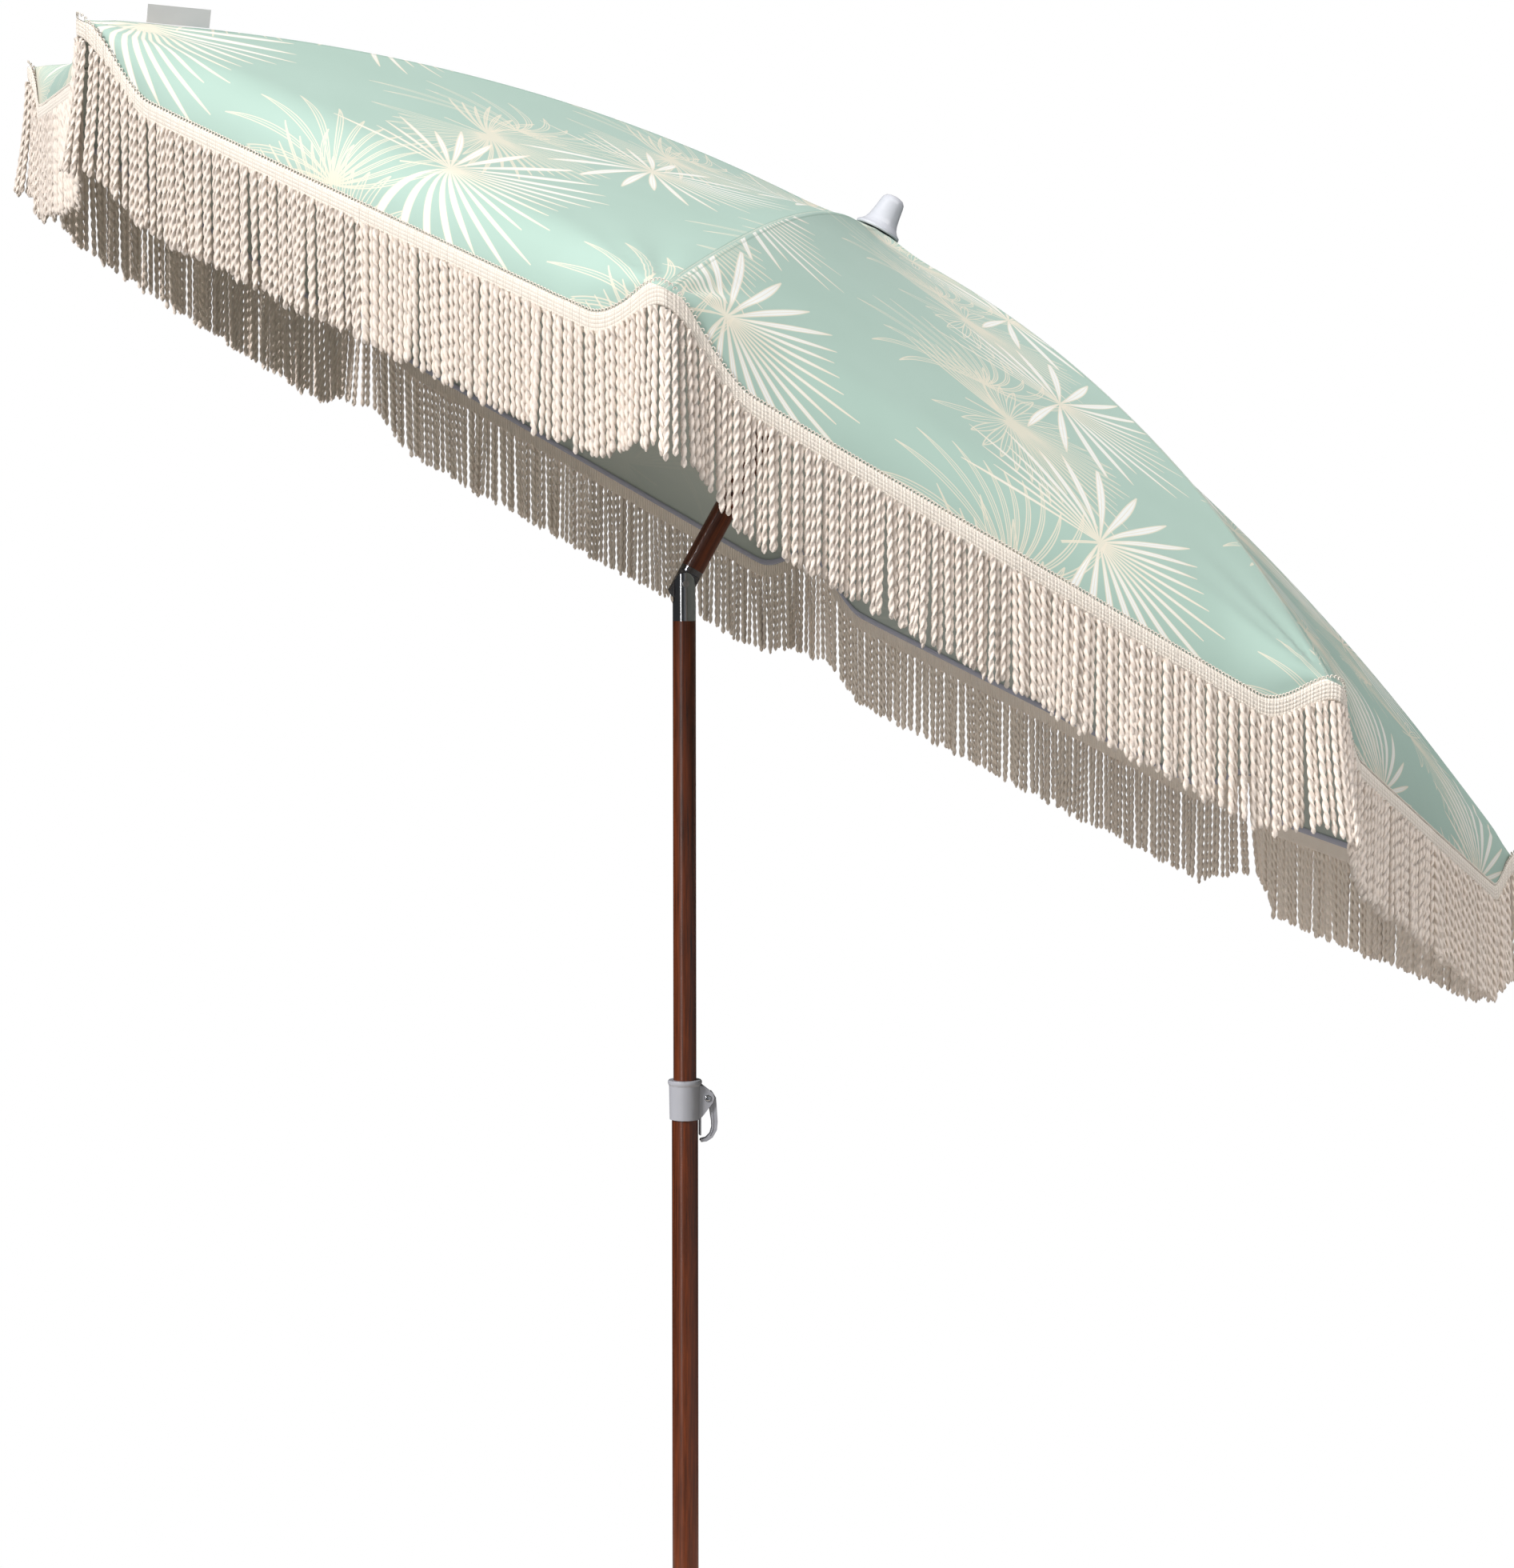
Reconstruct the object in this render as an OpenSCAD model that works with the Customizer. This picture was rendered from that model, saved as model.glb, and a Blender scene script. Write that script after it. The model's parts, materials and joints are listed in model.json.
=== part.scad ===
// Tilting beach umbrella, 8 ribs. Millimetres. +Z runs up the pole, the canopy leans towards +X.
// The origin is on the pole axis at the lower end of the pole's straight wall.

/* [Pole] */
// Outer radius of the lower pole
lower_r = 16; // [15:0.5:19]
// Length of the lower pole's free wall
lower_len = 1000; // [700:10:1200]
// Outer radius of the upper poles
upper_r = 14; // [13:0.5:15]
// Height of the tilt pivot above the origin
pivot_z = 1650; // [1400:10:1800]
// Lower end of the sliding pole
mid_low = 500; // [300:10:600]

/* [Canopy] */
// Lean of the canopy in degrees
tilt = 29; // [0:1:35]
// Azimuth of the first rib in degrees
rib_az = -15; // [-22:1:0]
// Radius of the canopy at a rib tip
tip_r = 1018; // [900:1:1100]
// Thickness of the cloth solid
cloth_t = 1.2; // [1:0.1:2]
// Inward sag of the cloth half way between two ribs
cloth_sag = 12; // [0:1:20]
// Drop of the valance below a straight line from tip to tip
skirt_drop = 53; // [30:1:60]
// Height of the woven fringe heading
head_h = 23; // [18:1:30]
// Drop of the cord ends below the valance's hem
cord_h = 135; // [90:1:150]

/* [Hidden] */
// Crown hinge circle and height above the pivot
hinge_r = 24;
hinge_h = 470;
// Centre and radius of the rib arc in the rib's own plane
arc_x = -195.3;
arc_h = -2101.3;
arc_r = 2580.7;
arc_a0 = 62.08;
arc_a1 = 85.07;
rod_r = 2.3;
// Stretcher pivot on the rib, and its distance from the crown hinge
str_x = 224;
str_h = 436;
str_len = sqrt(pow(str_x - hinge_r, 2) + pow(hinge_h - str_h, 2));
run_h = 2 * str_h - hinge_h;
// Rib tip
rib_tip_x = 1013;
rib_tip_h = 179;
gore = 45;
half = 22.5;
rows = 20;
cols = 6;
clamp_z = lower_len;
slot_w = 5.6;

// ---- shared shapes ----

// Height of the cloth over a rib at distance x from the pole's axis, above the pivot
function cloth_h(x) = arc_h + sqrt(pow(arc_r + 3.3, 2) - pow(x - arc_x, 2)) + 11 * exp(-pow(x / 70, 2));
// Distance from the axis of row i
function row_x(i) = 23 + (tip_r - 23) * pow(i / rows, 1.15);
// A point on the cloth: row i, share s from -1 to 1 across the sector, lift along the axis
function cloth_p(i, s, lift) =
  let (x = row_x(i), w = abs(s), xm = x * (1 + cos(gore)) / 2, ym = x * sin(gore) / 2)
  let (t = (x - 23) / (tip_r - 23), dip = cloth_sag * sin(180 * pow(t, 0.8)) * (1 - (1 - w) * (1 - w)))
  [x + (xm - x) * w, sign(s) * (ym * w - (w > 0.99 ? 0.2 : 0)), cloth_h(x) - dip + lift];
// Straight line from a rib tip to the middle of the gore
function rim_p(s) =
  let (w = abs(s), xm = tip_r * (1 + cos(gore)) / 2, ym = tip_r * sin(gore) / 2)
  [tip_r + (xm - tip_r) * w, sign(s) * (ym * w - (w > 0.99 ? 0.2 : 0)), cloth_h(tip_r)];
// World vertical, pointing down, seen from a sector at azimuth az
function down(az) = [sin(tilt) * cos(az), -sin(tilt) * sin(az), -cos(tilt)];
// Share of the full valance drop at distance d from a rib tip
function drop(d) = let (q = min(1, d / 66)) skirt_drop * q * q * (3 - 2 * q);
// Outward side of the hanging cloth at share s, mitred at the rib tip
function rim_out(s) = s == 0 ? [1 / cos(half), 0, 0] : [cos(half), sign(s) * sin(half), 0];
RIM_S = [-1, -0.8, -0.6, -0.4, -0.25, -0.15, -0.08, -0.03, 0, 0.03, 0.08, 0.15, 0.25, 0.4, 0.6, 0.8, 1];

// A closed band of quads: rings of four corners, joined in order
module band(rings) {
  n = len(rings);
  pts = [for (r = rings) for (p = r) p];
  sides = [for (i = [0 : n - 2]) for (j = [0 : 3])
    let (a = i * 4 + j, b = i * 4 + (j + 1) % 4, c = a + 4, d = b + 4)
    each [[a, c, b], [b, c, d]]];
  ends = [[0, 1, 2], [0, 2, 3], [(n - 1) * 4, (n - 1) * 4 + 2, (n - 1) * 4 + 1],
    [(n - 1) * 4, (n - 1) * 4 + 3, (n - 1) * 4 + 2]];
  polyhedron(points = pts, faces = concat(sides, ends), convexity = 6);
}

// A closed sheet between an upper and a lower grid of points
module sheet(up, low, nu, nv) {
  m = (nu + 1) * (nv + 1);
  pts = concat(up, low);
  top = [for (i = [0 : nu - 1]) for (j = [0 : nv - 1])
    let (a = i * (nv + 1) + j, b = a + 1, c = a + nv + 1, d = c + 1)
    each [[a, b, c], [b, d, c]]];
  bot = [for (f = top) [f[0] + m, f[2] + m, f[1] + m]];
  e1 = [for (j = [0 : nv - 1]) let (a = j, b = j + 1) each [[a, a + m, b], [b, a + m, b + m]]];
  e2 = [for (j = [0 : nv - 1]) let (a = nu * (nv + 1) + j, b = a + 1)
    each [[a, b, a + m], [b, b + m, a + m]]];
  e3 = [for (i = [0 : nu - 1]) let (a = i * (nv + 1), b = a + nv + 1)
    each [[a, b, a + m], [b, b + m, a + m]]];
  e4 = [for (i = [0 : nu - 1]) let (a = i * (nv + 1) + nv, b = a + nv + 1)
    each [[a, a + m, b], [b, a + m, b + m]]];
  polyhedron(points = pts, faces = concat(top, bot, e1, e2, e3, e4), convexity = 8);
}

// Puts a shape drawn about the leaning axis in place, origin at the tilt pivot
module leaning() {
  translate([0, 0, pivot_z]) rotate([0, tilt, 0]) children();
}

// Puts a shape drawn in a rib's own plane (x out, z along the axis) in place
module sector(k) {
  leaning() rotate([0, 0, rib_az + gore * (k - 1)]) children();
}

module tube(r_out, r_in, z0, z1) {
  difference() {
    translate([0, 0, z0]) cylinder(r = r_out, h = z1 - z0, $fn = 96);
    translate([0, 0, z0 - 1]) cylinder(r = r_in, h = z1 - z0 + 2, $fn = 96);
  }
}

module across(x, z, r, w, fn = 48) {
  translate([x, w / 2, z]) rotate([90, 0, 0]) cylinder(r = r, h = w, $fn = fn);
}

// ---- ribs and stretchers ----

module rib(k) {
  sector(k) {
    difference() {
      union() {
        // rod, bent to one arc
        translate([arc_x, 0, arc_h]) rotate([90, 0, 0])
          rotate([0, 0, arc_a0]) rotate_extrude(angle = arc_a1 - arc_a0, $fn = 720)
            translate([arc_r, 0]) circle(r = rod_r, $fn = 24);
        // flat eye in the crown
        across(hinge_r, hinge_h, 4.2, 4.6);
        // stretcher clip: a block round the rod with two ears below it
        translate([str_x - 7, -4.4, str_h - 1]) cube([14, 8.8, 10.4]);
        across(str_x, str_h, 4.2, 8.8);
        // tip cap
        translate([rib_tip_x, 0, rib_tip_h]) rotate([0, 90 + 27.9, 0]) translate([0.9, 0, -22])
          cylinder(r1 = 2.7, r2 = 3.1, h = 20, $fn = 32);
        translate([rib_tip_x, 0, rib_tip_h]) rotate([0, 90 + 27.9, 0]) translate([0.9, 0, -2.1])
          cylinder(r1 = 3.1, r2 = 2.2, h = 4, $fn = 32);
      }
      across(hinge_r, hinge_h, 1.5, 8);
      // slot for the stretcher's eye
      translate([str_x - 9, -2.6, str_h - 8]) cube([18, 5.2, 13.2]);
    }
    // clip pin
    across(str_x, str_h, 1.5, 8.8);
  }
}

module stretcher(k) {
  sector(k) {
    ang = atan2(str_h - run_h, str_x - hinge_r);
    difference() {
      union() {
        translate([hinge_r, 0, run_h]) rotate([0, -ang, 0]) {
          translate([3, -1.6, -1.8]) cube([str_len - 6, 3.2, 3.6]);
        }
        across(hinge_r, run_h, 4, 4.6);
        across(str_x, str_h, 3.8, 4.6);
      }
      across(hinge_r, run_h, 1.5, 8);
      across(str_x, str_h, 1.6, 8);
    }
  }
}

module canopy(k) {
  up = [for (i = [0 : rows]) for (j = [0 : cols]) cloth_p(i, 2 * j / cols - 1, cloth_t / 2)];
  low = [for (i = [0 : rows]) for (j = [0 : cols]) cloth_p(i, 2 * j / cols - 1, -cloth_t / 2)];
  sector(k) sheet(up, low, rows, cols);
}

// Valance and woven heading, hanging straight down from the rim
module heading(k) {
  az = rib_az + gore * (k - 1);
  v = down(az);
  rings = [for (s = RIM_S)
    let (p = rim_p(s), g = drop(abs(s) * 390))
    let (a = p + v * 1.5, b = p + v * (g + head_h), o = 0.8 * rim_out(s))
    [a + o, b + o, b - o, a - o]];
  sector(k) band(rings);
}

module fringe(k) {
  az = rib_az + gore * (k - 1);
  v = down(az);
  rings = [for (s = RIM_S)
    let (p = rim_p(s), g = drop(abs(s) * 390) + head_h)
    let (a = p + v * (g + 0.4), b = p + v * (drop(abs(s) * 390) + cord_h), o = 2.5 * rim_out(s))
    [a + o, b + o, b - o, a - o]];
  sector(k) band(rings);
}

// ---- lower pole and clamp ----

module lower_pole() {
  color([0.36, 0.19, 0.09]) difference() {
    union() {
      cylinder(r = lower_r, h = lower_len, $fn = 96);
      translate([0, 0, lower_len]) cylinder(r = lower_r - 0.2, h = 34, $fn = 96);
    }
    translate([0, 0, -1]) cylinder(r = lower_r - 1.5, h = lower_len + 40, $fn = 96);
  }
}

module sand_spike() {
  color([0.8, 0.81, 0.83]) {
    difference() {
      union() {
        // plug in the tube, collar, ribbed point
        cylinder(r = lower_r - 1.55, h = 30, $fn = 72);
        translate([0, 0, -8]) cylinder(r = lower_r, h = 8, $fn = 72);
        translate([0, 0, -92]) cylinder(r1 = 1.6, r2 = lower_r - 2, h = 84, $fn = 72);
        translate([0, 0, -93]) sphere(r = 1.9, $fn = 24);
      }
      for (a = [0 : 90 : 270]) rotate([0, 0, a]) translate([10.5, 0, -60])
        rotate([0, -8.5, 0]) cylinder(r = 3.2, h = 40, $fn = 32);
    }
  }
}

module clamp_collar() {
  color([0.79, 0.8, 0.83]) difference() {
    union() {
      // socket over the lower pole, neck and flared lip
      translate([0, 0, clamp_z]) cylinder(r1 = 18.6, r2 = 19.4, h = 43, $fn = 96);
      translate([0, 0, clamp_z + 41]) cylinder(r1 = 19.4, r2 = 20.8, h = 3, $fn = 96);
      translate([0, 0, clamp_z + 44]) cylinder(r = 20.8, h = 2.4, $fn = 96);
      translate([0, 0, clamp_z + 46.4]) cylinder(r1 = 20.8, r2 = 19.8, h = 1.6, $fn = 96);
      // cheeks that carry the lever
      for (s = [-1, 1]) translate([0, s * 7.2 + 1.6, 0]) rotate([90, 0, 0]) linear_extrude(height = 3.2)
        polygon([[12, clamp_z + 1], [20, clamp_z + 3], [33, clamp_z + 20], [35, clamp_z + 26],
          [33, clamp_z + 32], [22, clamp_z + 41], [12, clamp_z + 41]]);
      // bridge behind the cheeks
      translate([12, -8.8, clamp_z + 30]) cube([10, 17.6, 9]);
      // lower tab below the socket, outside the pole
      translate([17.4, -5, clamp_z - 20]) cube([2, 10, 24]);
    }
    translate([0, 0, clamp_z - 0.01]) cylinder(r = lower_r - 0.14, h = 34.1, $fn = 96);
    translate([0, 0, clamp_z + 30]) cylinder(r = upper_r + 0.3, h = 30, $fn = 96);
    translate([0, 0, clamp_z - 30]) cylinder(r = lower_r + 0.35, h = 29.9, $fn = 96);
    // pin hole, and the window the cam works in
    across(27, clamp_z + 26, 2.5, 40);
    translate([13, -5.6, clamp_z + 10]) cube([12, 11.2, 31]);
    across(27, clamp_z + 26, 11.6, 11.2, 64);
  }
}

module clamp_pin() {
  color([0.8, 0.8, 0.82]) {
    across(27, clamp_z + 26, 2.5, 17.6);
    for (s = [-1, 1]) translate([27, s * 9.3, clamp_z + 26]) rotate([90, 0, 0]) {
      cylinder(r = 4.1, h = 1, center = true, $fn = 40);
      translate([0, 0, -s * 0.5]) scale([1, 1, 0.3]) sphere(r = 3.6, $fn = 32);
    }
  }
}

// Soft pad between the cam and the sliding pole
module clamp_pad() {
  color([0.25, 0.25, 0.26]) difference() {
    translate([upper_r + 0.2, -5, clamp_z + 35.2]) cube([4.6, 10, 5.4]);
    translate([0, 0, clamp_z]) cylinder(r = upper_r + 0.35, h = 60, $fn = 96);
  }
}

module clamp_lever() {
  color([0.79, 0.8, 0.83]) difference() {
    union() {
      across(27, clamp_z + 26, 6.6, 10.4, 64);
      translate([0, 5.2, 0]) rotate([90, 0, 0]) linear_extrude(height = 10.4)
        polygon([[21.5, clamp_z + 29], [26, clamp_z + 34], [33, clamp_z + 33.5], [37.5, clamp_z + 26],
        [38.6, clamp_z + 12], [39.6, clamp_z - 4], [38.6, clamp_z - 14], [33.5, clamp_z - 23],
        [26.5, clamp_z - 27.5], [19.4, clamp_z - 28.4], [18.2, clamp_z - 26.6], [19.2, clamp_z - 24.8],
        [25.5, clamp_z - 23.4], [30.6, clamp_z - 18.5], [32.8, clamp_z - 11], [32.6, clamp_z - 4],
        [30.8, clamp_z + 8], [29, clamp_z + 20]]);
    }
    across(27, clamp_z + 26, 2.56, 20);
    // moulded channel down each side
    for (s = [-1, 1]) translate([0, s * 5.2 + 0.7, 0]) rotate([90, 0, 0]) linear_extrude(height = 1.4)
      polygon([[32.8, clamp_z + 20], [34.6, clamp_z + 20], [36.4, clamp_z + 4], [37.2, clamp_z - 6],
        [35.6, clamp_z - 15], [31, clamp_z - 21.6], [30.2, clamp_z - 20.8], [33.8, clamp_z - 13],
        [34.4, clamp_z - 5]]);
  }
}

// ---- sliding pole and tilt joint ----

module mid_pole() {
  color([0.36, 0.19, 0.09]) tube(upper_r, upper_r - 1.4, mid_low, pivot_z - 44.5);
}

module pole_bush() {
  color([0.2, 0.2, 0.21]) {
    difference() {
      translate([0, 0, mid_low - 6]) cylinder(r = lower_r - 1.55, h = 6, $fn = 72);
      translate([0, 0, mid_low - 10]) cylinder(r = 8, h = 60, $fn = 48);
    }
    tube(upper_r - 1.4, 8, mid_low, mid_low + 24);
  }
}

module tilt_fork() {
  color([0.75, 0.76, 0.78]) translate([0, 0, pivot_z]) difference() {
    union() {
      intersection() {
        translate([0, 0, -44.5]) cylinder(r = upper_r, h = 60, $fn = 96);
        union() {
          translate([-20, -20, -44.5]) cube([40, 40, 44.5]);
          across(0, 0, upper_r - 0.6, 40, 96);
        }
      }
      translate([0, 0, -84]) cylinder(r = upper_r - 1.4, h = 39.6, $fn = 96);
    }
    translate([-20, -6.3, -21]) cube([40, 12.6, 60]);
    across(0, 0, 3, 40);
    translate([0, 0, -90]) cylinder(r = 9, h = 62, $fn = 48);
  }
}

module tilt_rivet() {
  color([0.8, 0.8, 0.82]) translate([0, 0, pivot_z]) {
    across(0, 0, 3, 28.6);
    for (s = [-1, 1]) translate([0, s * 14.5, 0]) rotate([90, 0, 0]) {
      cylinder(r = 4, h = 0.8, center = true, $fn = 40);
    }
  }
}

module tilt_lug() {
  color([0.3, 0.3, 0.32]) leaning() difference() {
    union() {
      // tongue between the fork's cheeks, its end rounded about the pivot
      intersection() {
        translate([0, 0, -24]) cylinder(r = upper_r, h = 38.4, $fn = 96);
        translate([-20, -6, -24]) cube([40, 12, 38.4]);
        union() {
          across(0, 0, 20.3, 12, 96);
          translate([-20, -6, 0]) cube([40, 12, 14.4]);
        }
      }
      translate([0, 0, 14.2]) cylinder(r = upper_r, h = 6.8, $fn = 96);
      translate([0, 0, 20.9]) cylinder(r = upper_r - 1.4, h = 40, $fn = 96);
    }
    across(0, 0, 3.06, 40);
    translate([0, 0, 30]) cylinder(r = 9, h = 40, $fn = 48);
  }
}

module upper_pole() {
  color([0.36, 0.19, 0.09]) leaning() tube(upper_r, upper_r - 1.4, 21, 475);
}

// ---- crown, runner, finial ----

module crown_notch() {
  color([0.85, 0.85, 0.86]) leaning() {
    difference() {
      union() {
        translate([0, 0, 456]) cylinder(r = 17, h = 24.5, $fn = 72);
        translate([0, 0, 463]) cylinder(r = 29, h = 13, $fn = 96);
      }
      translate([0, 0, 450]) cylinder(r = upper_r + 0.02, h = 25, $fn = 96);
      translate([0, 0, 470]) cylinder(r = 5, h = 20, $fn = 40);
      for (k = [0 : 7]) rotate([0, 0, rib_az + gore * k])
        translate([19.2, -slot_w / 2, 450]) cube([20, slot_w, 40]);
      for (k = [0 : 7]) rotate([0, 0, rib_az + gore * k]) across(hinge_r, hinge_h, 1.4, 9);
    }
    for (k = [0 : 7]) rotate([0, 0, rib_az + gore * k]) across(hinge_r, hinge_h, 1.4, 9, 32);
  }
}

// Cloth washer between the crown and the canopy
module crown_cap() {
  color([0.62, 0.77, 0.7]) leaning() rotate_extrude($fn = 96)
    polygon([[5.2, 481.6], [17.3, 481.6], [38, 476.6], [38, 475.8], [30, 477.2], [17.3, 480.7],
      [5.2, 480.7]]);
}

module finial() {
  color([0.93, 0.94, 0.95]) leaning() {
    rotate_extrude($fn = 96) polygon([[0, 486], [22, 486], [27.2, 484.2], [28.4, 485.4], [28, 488],
      [24.4, 490.6], [20.8, 495], [18.6, 501], [17, 509], [15.8, 517], [15, 522.6], [13.8, 526.6],
      [11.2, 529.6], [6.8, 531.2], [0, 531.8]]);
    // screw into the crown
    translate([0, 0, 470.5]) cylinder(r = 5, h = 17, $fn = 40);
  }
}

module runner() {
  color([0.85, 0.85, 0.86]) leaning() {
    difference() {
      union() {
        translate([0, 0, run_h - 7]) cylinder(r = 29, h = 13, $fn = 96);
        translate([0, 0, run_h - 40]) cylinder(r = 17.4, h = 64, $fn = 96);
        translate([0, 0, run_h - 42]) cylinder(r = 19.6, h = 5, $fn = 96);
      }
      translate([0, 0, run_h - 50]) cylinder(r = upper_r + 0.35, h = 90, $fn = 96);
      for (k = [0 : 7]) rotate([0, 0, rib_az + gore * k])
        translate([19.2, -slot_w / 2, run_h - 20]) cube([20, slot_w, 40]);
      for (k = [0 : 7]) rotate([0, 0, rib_az + gore * k]) across(hinge_r, run_h, 1.4, 9);
      // button pocket
      rotate([0, 0, rib_az + 22.5]) translate([14, -4.2, run_h - 34]) cube([6, 8.4, 14]);
    }
    for (k = [0 : 7]) rotate([0, 0, rib_az + gore * k]) across(hinge_r, run_h, 1.4, 9, 32);
  }
}

module runner_grip() {
  color([0.6, 0.61, 0.63]) leaning() difference() {
    translate([0, 0, run_h + 9]) cylinder(r = 18.9, h = 12, $fn = 96);
    translate([0, 0, run_h]) cylinder(r = 17.45, h = 30, $fn = 96);
  }
}

module runner_button() {
  color([0.6, 0.61, 0.63]) leaning() rotate([0, 0, rib_az + 22.5]) difference() {
    translate([17.2, -3.9, run_h - 33.6]) cube([3.4, 7.8, 13.2]);
    for (z = [run_h - 31.4 : 2.6 : run_h - 22]) translate([20.3, -5, z]) cube([1, 10, 0.9]);
  }
}

// Blank woven tag sewn in the seam
module cloth_tag() {
  color([0.95, 0.95, 0.95]) sector(6) translate([925, 0, cloth_h(925) + 1]) rotate([0, 25.5, 0])
    translate([-36, -0.4, 0]) cube([72, 0.8, 19]);
}

// ---- eight of each ----

module rib_1() { color([0.85, 0.86, 0.86]) rib(1); }
module rib_2() { color([0.85, 0.86, 0.86]) rib(2); }
module rib_3() { color([0.85, 0.86, 0.86]) rib(3); }
module rib_4() { color([0.85, 0.86, 0.86]) rib(4); }
module rib_5() { color([0.85, 0.86, 0.86]) rib(5); }
module rib_6() { color([0.85, 0.86, 0.86]) rib(6); }
module rib_7() { color([0.85, 0.86, 0.86]) rib(7); }
module rib_8() { color([0.85, 0.86, 0.86]) rib(8); }

module stretcher_1() { color([0.8, 0.81, 0.82]) stretcher(1); }
module stretcher_2() { color([0.8, 0.81, 0.82]) stretcher(2); }
module stretcher_3() { color([0.8, 0.81, 0.82]) stretcher(3); }
module stretcher_4() { color([0.8, 0.81, 0.82]) stretcher(4); }
module stretcher_5() { color([0.8, 0.81, 0.82]) stretcher(5); }
module stretcher_6() { color([0.8, 0.81, 0.82]) stretcher(6); }
module stretcher_7() { color([0.8, 0.81, 0.82]) stretcher(7); }
module stretcher_8() { color([0.8, 0.81, 0.82]) stretcher(8); }

module canopy_1() { color([0.65, 0.8, 0.72]) canopy(1); }
module canopy_2() { color([0.65, 0.8, 0.72]) canopy(2); }
module canopy_3() { color([0.65, 0.8, 0.72]) canopy(3); }
module canopy_4() { color([0.65, 0.8, 0.72]) canopy(4); }
module canopy_5() { color([0.65, 0.8, 0.72]) canopy(5); }
module canopy_6() { color([0.65, 0.8, 0.72]) canopy(6); }
module canopy_7() { color([0.65, 0.8, 0.72]) canopy(7); }
module canopy_8() { color([0.65, 0.8, 0.72]) canopy(8); }

module heading_1() { color([0.94, 0.9, 0.83]) heading(1); }
module heading_2() { color([0.94, 0.9, 0.83]) heading(2); }
module heading_3() { color([0.94, 0.9, 0.83]) heading(3); }
module heading_4() { color([0.94, 0.9, 0.83]) heading(4); }
module heading_5() { color([0.94, 0.9, 0.83]) heading(5); }
module heading_6() { color([0.94, 0.9, 0.83]) heading(6); }
module heading_7() { color([0.94, 0.9, 0.83]) heading(7); }
module heading_8() { color([0.94, 0.9, 0.83]) heading(8); }

module fringe_1() { color([0.92, 0.87, 0.79]) fringe(1); }
module fringe_2() { color([0.92, 0.87, 0.79]) fringe(2); }
module fringe_3() { color([0.92, 0.87, 0.79]) fringe(3); }
module fringe_4() { color([0.92, 0.87, 0.79]) fringe(4); }
module fringe_5() { color([0.92, 0.87, 0.79]) fringe(5); }
module fringe_6() { color([0.92, 0.87, 0.79]) fringe(6); }
module fringe_7() { color([0.92, 0.87, 0.79]) fringe(7); }
module fringe_8() { color([0.92, 0.87, 0.79]) fringe(8); }

lower_pole();
sand_spike();
clamp_collar();
clamp_pin();
clamp_pad();
clamp_lever();
mid_pole();
pole_bush();
tilt_fork();
tilt_rivet();
tilt_lug();
upper_pole();
crown_notch();
crown_cap();
finial();
runner();
runner_grip();
runner_button();
cloth_tag();
rib_1();
rib_2();
rib_3();
rib_4();
rib_5();
rib_6();
rib_7();
rib_8();
stretcher_1();
stretcher_2();
stretcher_3();
stretcher_4();
stretcher_5();
stretcher_6();
stretcher_7();
stretcher_8();
canopy_1();
canopy_2();
canopy_3();
canopy_4();
canopy_5();
canopy_6();
canopy_7();
canopy_8();
heading_1();
heading_2();
heading_3();
heading_4();
heading_5();
heading_6();
heading_7();
heading_8();
fringe_1();
fringe_2();
fringe_3();
fringe_4();
fringe_5();
fringe_6();
fringe_7();
fringe_8();
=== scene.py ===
"""Beach umbrella: printed canopy with a twisted cord fringe, wood-look poles, tilt joint and lever clamp.

Everything is in metres in the row frame. A sector is the cloth on both sides of one rib, and its own
coordinates are x out along the rib, y across it and z along the leaning pole, from the tilt pivot.
"""

import json
import math

import bpy
import numpy as np
from mathutils import Matrix, Vector


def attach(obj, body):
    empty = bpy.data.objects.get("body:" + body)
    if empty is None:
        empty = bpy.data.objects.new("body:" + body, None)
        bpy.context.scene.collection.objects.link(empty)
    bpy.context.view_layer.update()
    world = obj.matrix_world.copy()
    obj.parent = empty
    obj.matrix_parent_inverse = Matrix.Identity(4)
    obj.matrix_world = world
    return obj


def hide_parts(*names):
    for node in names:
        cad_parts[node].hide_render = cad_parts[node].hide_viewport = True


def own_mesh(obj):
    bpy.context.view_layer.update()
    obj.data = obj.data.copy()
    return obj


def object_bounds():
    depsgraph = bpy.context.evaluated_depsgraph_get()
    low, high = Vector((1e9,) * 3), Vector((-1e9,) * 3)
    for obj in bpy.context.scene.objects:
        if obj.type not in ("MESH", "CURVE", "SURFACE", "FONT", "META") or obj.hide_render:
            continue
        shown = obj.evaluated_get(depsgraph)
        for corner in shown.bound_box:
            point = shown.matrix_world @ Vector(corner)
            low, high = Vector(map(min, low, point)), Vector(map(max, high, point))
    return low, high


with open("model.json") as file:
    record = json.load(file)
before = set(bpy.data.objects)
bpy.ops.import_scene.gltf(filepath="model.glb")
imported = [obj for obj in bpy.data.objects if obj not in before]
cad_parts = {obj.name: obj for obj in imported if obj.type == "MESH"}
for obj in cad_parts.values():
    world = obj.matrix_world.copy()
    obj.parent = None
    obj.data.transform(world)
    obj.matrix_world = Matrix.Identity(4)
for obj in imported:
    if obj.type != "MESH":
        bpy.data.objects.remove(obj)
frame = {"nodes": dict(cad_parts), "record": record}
cad_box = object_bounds()

MM = 0.001
JOINTS = {j["name"]: j for j in frame["record"]["behaviour"]["joints"]}
PIVOT = np.array(JOINTS["tilt"]["pos_m"])
LEAN = math.radians(29)
AXIS = np.array([math.sin(LEAN), 0, math.cos(LEAN)])
RIBS = range(1, 9)
HALF_GORE = math.radians(22.5)
rng = np.random.default_rng(12)

# ---- sizes ----

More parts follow.
